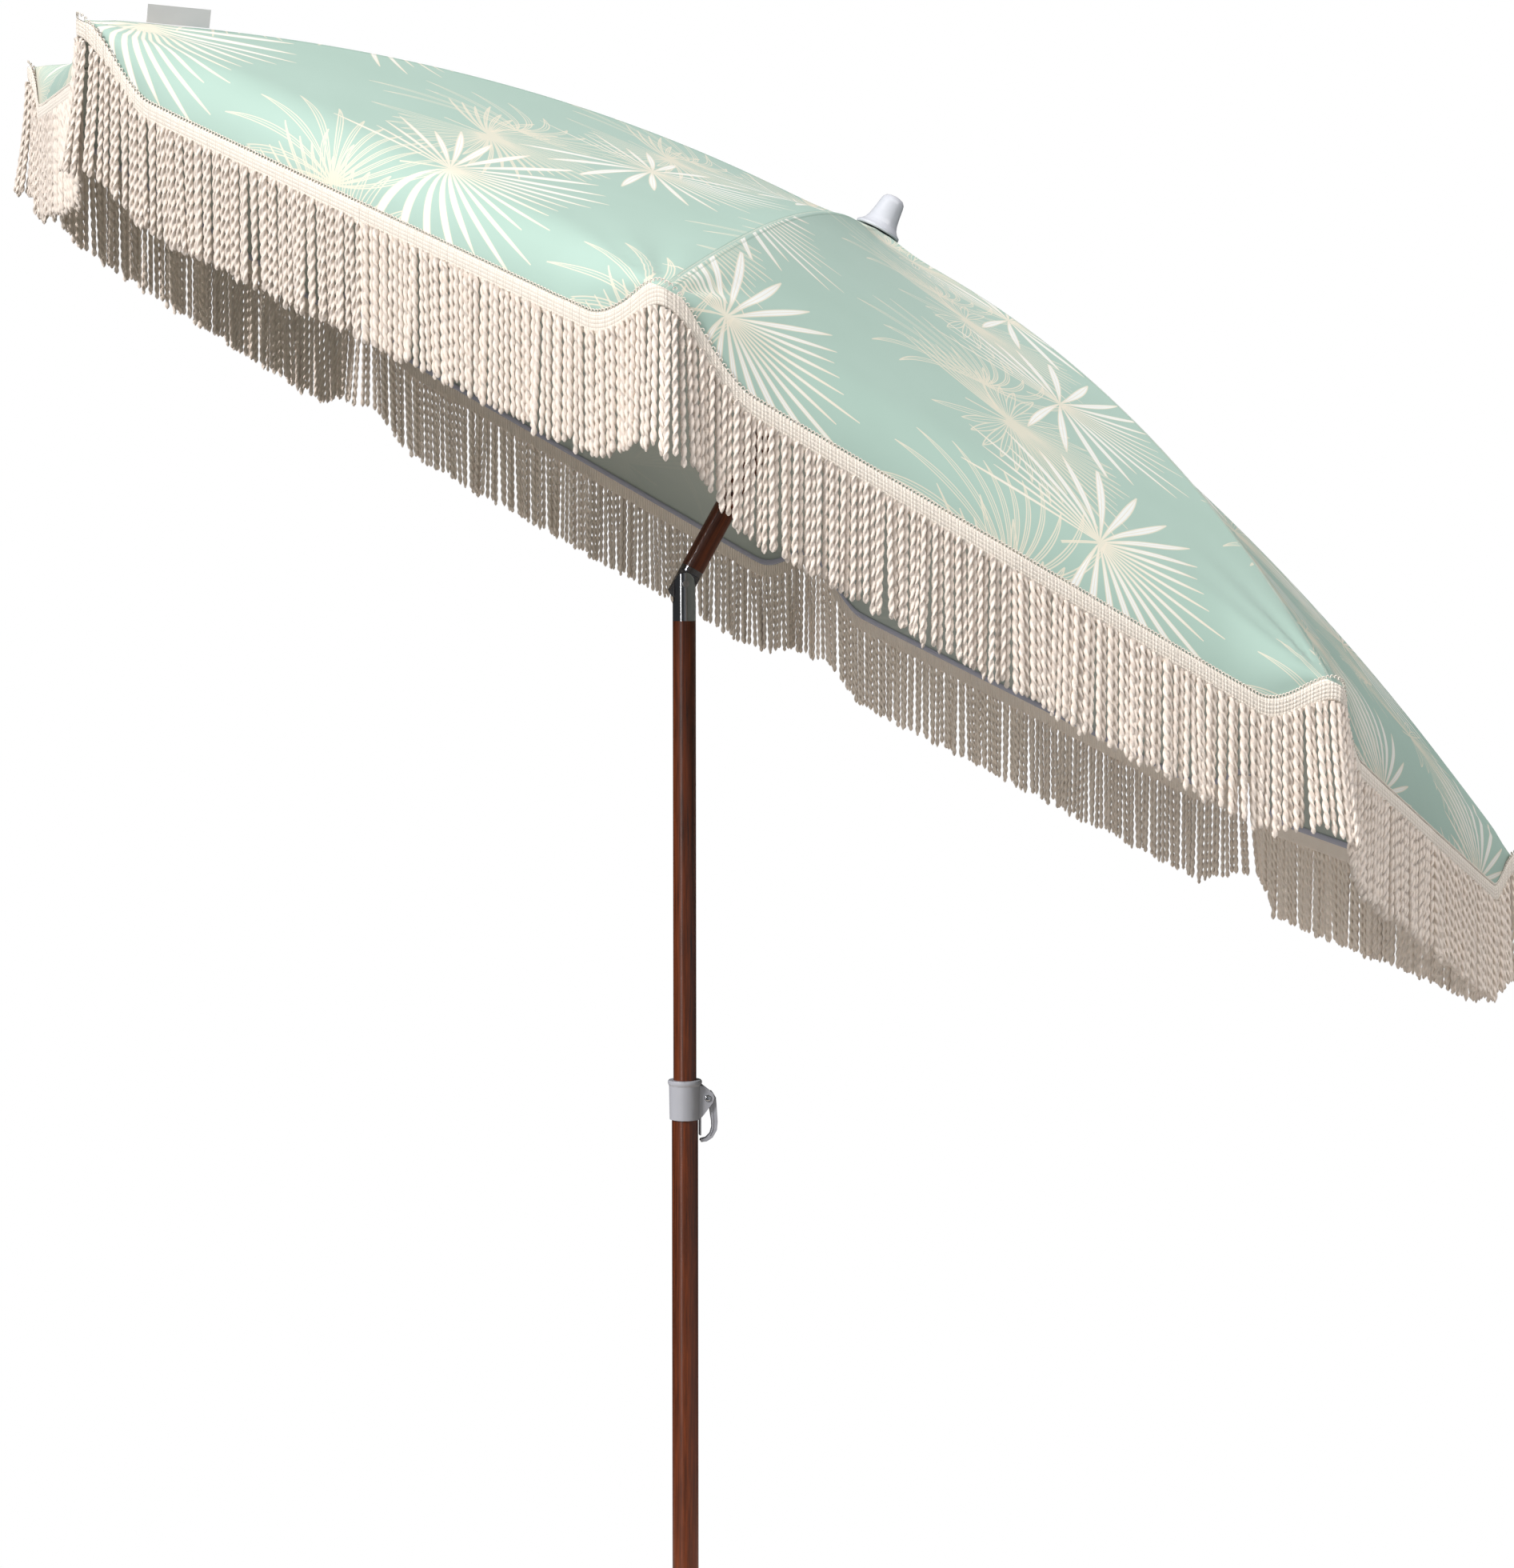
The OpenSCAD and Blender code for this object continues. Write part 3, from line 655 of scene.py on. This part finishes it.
def canopy_sector(k):
    x = CROWN_X * 0.8 + (TIP_X - CROWN_X * 0.8) * np.linspace(0, 1, ROWS)[:, None] ** 0.95
    across = np.linspace(-1, 1, COLS + 1)[None, :]
    s = np.sign(across) * np.abs(across) ** 1.15
    x, s = np.broadcast_arrays(x, s)
    points = canopy_point(k, x, s)
    below = hem_point(k, s[-1:], 0 * s[-1:] + 6 * MM, 0 * s[-1:])
    normal = grid_normals(np.concatenate([points, below]))[:-1]
    normal *= np.sign(normal[..., 2:3])
    uv = {"print": print_uv(k, x, s), "seam": seam_uv(x, s)}
    co, faces, slots, uvs = both_skins(k, points, normal, uv)
    piece = mesh_piece(f"canopy_gores_{k}", co, faces, uvs, [CANOPY_CLOTH, CANOPY_BACK], slots)
    row_normal = normal.reshape(-1, 3) @ sector_axes(k)
    piece.data.normals_split_custom_set_from_vertices(np.concatenate([row_normal, -row_normal]))
    return piece


# ---- valance, woven heading and cords ----


def half_span(n, side):
    return side * np.linspace(0.0001, 1, n)


def hood_rise(along):
    """The heading stands out where it wraps the rib's tip."""
    return 7 * MM * np.exp(-((along / 0.028) ** 2))


def valance(k, side):
    s, depth_share = np.broadcast_arrays(half_span(60, side)[None, :], np.linspace(0, 1, 22)[:, None])
    depth = depth_share * (hem_drop(np.abs(s)) + 6 * MM)
    points = hem_point(k, s, depth, 0 * s)
    above = canopy_point(k, TIP_X - 6 * MM + 0 * s[:1], s[:1])
    normal = grid_normals(np.concatenate([above, points]))[1:]
    normal *= np.sign((normal * hem_out(k, s)).sum(-1, keepdims=True))
    uv = {
        "print": print_uv(k, TIP_X + 0 * s, s, depth),
        "seam": point(s * HEM_LEN, TIP_X + depth),
    }
    co, faces, slots, uvs = both_skins(k, points, normal, uv)
    name = f"valance_{k}_{'b' if side > 0 else 'a'}"
    piece = mesh_piece(name, co, faces, uvs, [CANOPY_CLOTH, CANOPY_BACK], slots)
    row_normal = normal.reshape(-1, 3) @ sector_axes(k)
    piece.data.normals_split_custom_set_from_vertices(np.concatenate([row_normal, -row_normal]))
    return piece


def heading(k, side):
    """Knitted band that the cords hang from: wales every 4 mm, and a front and a back joined along its lower edge."""
    n, rows = 390, 15
    s, z = np.broadcast_arrays(half_span(n, side)[None, :], np.linspace(0, 1, rows)[:, None])
    along = np.abs(s) * HEM_LEN
    wale = np.abs(np.sin(math.pi * along / (4 * MM)))
    course = 0.5 + 0.5 * np.cos(math.tau * z * 5)
    lip = 1 - (2 * z - 1) ** 6
    thick = (1.6 + 0.9 * wale + 0.4 * course * (z < 0.6)) * MM * (0.35 + 0.65 * lip)
    hood = hood_rise(along)
    depth = hem_drop(np.abs(s)) + z * HEAD_H - hood * 0.8 + 0.6 * MM * np.sin(math.tau * along / 0.0041) * (z < 0.1)
    front = hem_point(k, s, np.maximum(depth, 0), thick + hood)
    back = hem_point(k, s, np.maximum(depth, 0), hood - (0.3 + 1.6 * wale) * MM)
    points = np.concatenate([front, back[::-1]])
    uv = point(np.concatenate([along, along]), np.concatenate([z, 2 - z[::-1]]) * HEAD_H)
    faces = grid_faces(2 * rows, n)
    inner = (np.arange(len(faces)) >= (rows - 1) * (n - 1)).astype(int)
    name = f"heading_band_{k}_{'b' if side > 0 else 'a'}"
    return mesh_piece(name, place(k, points), faces, {"yarn": uv}, [HEADING_COTTON, FRINGE_COTTON], inner)


def cords(k, side):
    """Two-ply cords, each one bilobed section that turns once in TWIST metres and ends in a blunt tuft."""
    count = int(round(HEM_LEN / CORD_PITCH))
    rings, around = 46, 12
    j = np.arange(count)
    along = (j + 0.5) * HEM_LEN / count + rng.normal(0, 0.5 * MM, count)
    s = side * along / HEM_LEN
    corner = np.exp(-((along / 0.03) ** 2))
    length = (CORD_END - HEAD_H + 5 * MM) * (1 + rng.normal(0, 0.022, count)) + 20 * MM * corner
    start = hem_drop(np.abs(s)) + HEAD_H - 5 * MM
    push = 1.2 * MM + (j % 2) * 2.2 * MM + rng.uniform(-1, 1, count) * 0.8 * MM
    root = hem_point(k, s, start, push + hood_rise(along))
    out = hem_out(k, s)
    d = down(k)
    level = unit(np.cross(out, d)) * side
    slow = np.convolve(rng.normal(0, 1, count + 8), np.ones(5) / 5, "same")[4:-4]
    drift = (3.2 * slow + rng.normal(0, 1.2, count)) * MM
    swing = (rng.normal(0, 1.8, count) + 20 * corner) * MM
    t = np.linspace(0, 1, rings)[None, :, None]
    bend = t**1.4
    centre = (
        root[:, None]
        + t * length[:, None, None] * d
        + bend * drift[:, None, None] * level[:, None]
        + bend * swing[:, None, None] * out[:, None]
    )
    angle = np.linspace(0, math.tau, around, endpoint=False)[None, None, :]
    reach = PLY_OUT * np.abs(np.cos(angle)) + np.sqrt(PLY_R**2 - (PLY_OUT * np.sin(angle)) ** 2)
    reach = reach * (1 + rng.normal(0, 0.04, count))[:, None, None]
    tail = np.clip((1 - t) * length[:, None, None] / (5 * MM), 0, 1)
    reach = reach * np.sqrt(1 - (1 - tail) ** 2 * 0.93)
    spin = rng.uniform(0, math.tau, count)[:, None, None] + math.tau * t * length[:, None, None] / TWIST
    a = (angle + spin)[..., None]
    points = centre[:, :, None] + reach[..., None] * (
        np.cos(a) * level[:, None, None] + np.sin(a) * out[:, None, None]
    )
    base = grid_faces(rings, around, closed=True)
    faces = (base[None] + (j * rings * around)[:, None, None]).reshape(-1, 4)
    u = np.broadcast_to(angle / math.tau * 0.018, reach.shape)
    v = np.broadcast_to(t * length[:, None, None] + j[:, None, None] * 0.37, reach.shape)
    uv = point(u, v)
    return mesh_piece(
        f"fringe_cords_{k}_{'b' if side > 0 else 'a'}", place(k, points), faces, {"yarn": uv}, FRINGE_COTTON
    )


def picots(k, side):
    """Row of small loops along the heading's upper edge."""
    pitch, loop, wire = 4.1 * MM, 1.7 * MM, 0.62 * MM
    count = int(HEM_LEN / pitch)
    along = (np.arange(count) + 0.5) * HEM_LEN / count
    s = side * along / HEM_LEN
    hood = hood_rise(along)
    depth = np.maximum(hem_drop(np.abs(s)) - hood * 0.8 - 0.5 * MM, -1)
    root = hem_point(k, s, depth, 1.4 * MM + hood)
    d, out = down(k), hem_out(k, s)
    level = unit(np.cross(out, d)) * side
    turn = np.linspace(-0.15, 1.15, 9)[None, :, None] * math.pi
    ring = np.linspace(0, math.tau, 6, endpoint=False)[None, None, :]
    radial = np.cos(turn)[..., None] * level[:, None, None] - np.sin(turn)[..., None] * d
    points = root[:, None, None] + radial * (loop + wire * np.cos(ring))[..., None]
    points = points + (wire * np.sin(ring))[..., None] * out[:, None, None]
    turn = np.broadcast_to(turn, points.shape[:3])
    base = grid_faces(9, 6, closed=True)
    faces = (base[None] + (np.arange(count) * 54)[:, None, None]).reshape(-1, 4)
    uv = point(ring * 1.0 * MM, turn * loop + along[:, None, None])
    return mesh_piece(
        f"heading_loops_{k}_{'b' if side > 0 else 'a'}", place(k, points), faces, {"yarn": uv}, HEADING_COTTON
    )


def hem_tape(k, side):
    """Binding tape inside the hem, over the heading's seam."""
    s, z = np.broadcast_arrays(half_span(60, side)[None, :], np.linspace(-1, 1, 7)[:, None])
    depth = hem_drop(np.abs(s)) + 1 * MM + z * 4 * MM
    lift = -(2.2 + 1.0 * np.sqrt(np.clip(1 - z**2, 0, 1))) * MM
    points = hem_point(k, s, np.maximum(depth, 0), lift)
    uv = point(np.abs(s) * HEM_LEN, z * 5 * MM)
    return mesh_piece(
        f"hem_tape_{k}_{'b' if side > 0 else 'a'}", place(k, points), grid_faces(7, 60), {"yarn": uv}, BINDING
    )


def gather_hem(piece, k):
    """Gives the piece its own copy of its mesh; the place of rib k's tip is worked out and not used."""
    tip = chord_point(TIP_X, np.array([0.0]))[0]
    tuple(place(k, tip))
    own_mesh(piece)


for k in RIBS:
    cloth = canopy_sector(k)
    for side in (-1, 1):
        for make in (valance, heading, picots, cords, hem_tape):
            piece = make(k, side)
            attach(piece, f"drop_{k}")
            gather_hem(piece, k)
    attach(cloth, f"rib_{k}")
    tip = chord_point(TIP_X, np.array([0.0]))[0]
    tuple(place(k, tip))
    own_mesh(cloth)
    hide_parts(f"canopy_{k}")
    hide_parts(f"heading_{k}")
    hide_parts(f"fringe_{k}")


# ---- hard parts ----

FINISHES = {
    "lower_pole": WOOD, "mid_pole": WOOD, "upper_pole": WOOD_LEANING,
    "clamp_collar": GREY_PLASTIC, "clamp_lever": GREY_PLASTIC, "sand_spike": GREY_PLASTIC,
    "tilt_fork": CHROME, "tilt_rivet": CHROME, "tilt_lug": DARK_CHROME, "clamp_pin": CHROME,
    "pole_bush": DARK_PLASTIC, "clamp_pad": DARK_PLASTIC,
    "finial": WHITE_PLASTIC, "crown_notch": WHITE_PLASTIC, "runner": WHITE_PLASTIC,
    "runner_grip": BUTTON_PLASTIC, "runner_button": BUTTON_PLASTIC,
    **{f"rib_{k}": RIB_ROD for k in RIBS},
    **{f"stretcher_{k}": STRETCHER_STEEL for k in RIBS},
    "crown_cap": CAP_CLOTH, "cloth_tag": TAG_SATIN,
}
for node, material in FINISHES.items():
    mesh = frame["nodes"][node].data
    mesh.materials.clear()
    mesh.materials.append(material)


# ---- studio ----


def floor():
    low = cad_box[0][2] - 1 * MM
    size = 1.6
    points = [(-size, -size, low), (size, -size, low), (size, size, low), (-size, size, low)]

    def surface(tree):
        return {"Base Color": paint("#CDC3B7"), "Roughness": 0.9, "Specular IOR Level": 0.1}

    piece = mesh_piece("floor", points, [(0, 1, 2, 3)], material=finish_of("floor_paper_roll", surface))


def sun(name, way, strength, spread):
    data = bpy.data.lights.new(name, "SUN")
    data.energy, data.angle, data.color = strength, math.radians(spread), (1.0, 0.97, 0.98)
    lamp = bpy.data.objects.new(name, data)
    bpy.context.collection.objects.link(lamp)
    lamp.matrix_world = Vector(way).to_track_quat("Z", "Y").to_matrix().to_4x4()


def strip_box(name, where, target, size, watts):
    """A tall narrow soft box: the long highlight down the poles and the chromed joint."""
    data = bpy.data.lights.new(name, "AREA")
    data.shape, data.size, data.size_y, data.energy = "RECTANGLE", *size, watts
    lamp = bpy.data.objects.new(name, data)
    bpy.context.collection.objects.link(lamp)
    way = Vector(where) - Vector(target)
    lamp.matrix_world = Matrix.Translation(where) @ way.to_track_quat("Z", "Y").to_matrix().to_4x4()
    # it gives highlights only, so the shaded side of the fringe stays dark
    lamp.visible_diffuse = False


def studio():
    floor()
    world = bpy.data.worlds.new("studio")
    bpy.context.scene.world = world
    world.use_nodes = True
    tree = world.node_tree
    tree.nodes.clear()
    seen = add(tree, "LightPath", output="Is Camera Ray")
    way = add(tree, "TexCoord", output="Generated")
    toward = add(tree, "VectorMath", (way, tuple(unit((-0.8, -0.5, 0.5)))), output="Value", operation="DOT_PRODUCT")
    strength = add(tree, "MapRange", (toward, -0.1, 1.0, 0.05, 0.78))
    side = add(tree, "VectorMath", (way, tuple(unit((0.8, -0.6, 0.1)))), output="Value", operation="DOT_PRODUCT")
    gloss = add(tree, "MapRange", (side, 0.35, 0.95, 0.06, 0.55))
    shiny = add(tree, "LightPath", output="Is Glossy Ray")
    room = add(tree, "Mix", (shiny, None, strength, gloss), data_type="FLOAT")
    around = add(tree, "Background", {"Color": (0.96, 0.98, 1, 1), "Strength": room})
    plain = add(tree, "Background", {"Color": (1, 1, 1, 1), "Strength": 1.0})
    both = add(tree, "MixShader", (seen, around, plain))
    out = tree.nodes.new("ShaderNodeOutputWorld")
    tree.links.new(both, out.inputs["Surface"])
    strip_box("strip", (-2.2, -2.6, 1.3), (0, 0, 1.3), (0.22, 3.0), 26)
    sun("key", (-1.0, -0.60, 0.72), 3.05, 12)
    sun("side", (1.0, -0.7, 0.75), 1.15, 25)
    sun("front", (0.3, -0.75, 1.3), 1.25, 50)
    scene = bpy.context.scene
    scene.view_settings.view_transform = "Standard"
    scene.view_settings.look = "None"


def camera():
    """A long lens a little above the tilt joint, turned 8.5 degrees and tipped 4 degrees down."""
    turn, tip, back = math.radians(8.5), math.radians(4), 4.302
    look = Vector((math.sin(turn) * math.cos(tip), math.cos(turn) * math.cos(tip), -math.sin(tip)))
    right = Vector((math.cos(turn), -math.sin(turn), 0))
    up = right.cross(look)
    data = bpy.data.cameras.new("camera")
    data.sensor_fit, data.sensor_width, data.lens = "HORIZONTAL", 36.0, 84.92
    seat = bpy.data.objects.new("camera", data)
    bpy.context.collection.objects.link(seat)
    where = Vector(PIVOT) - back * look + 0.0877 * right - 0.241 * up
    turned = Matrix((right, up, -look)).transposed().to_4x4()
    seat.matrix_world = Matrix.Translation(where) @ turned
    bpy.context.scene.camera = seat


studio()
camera()
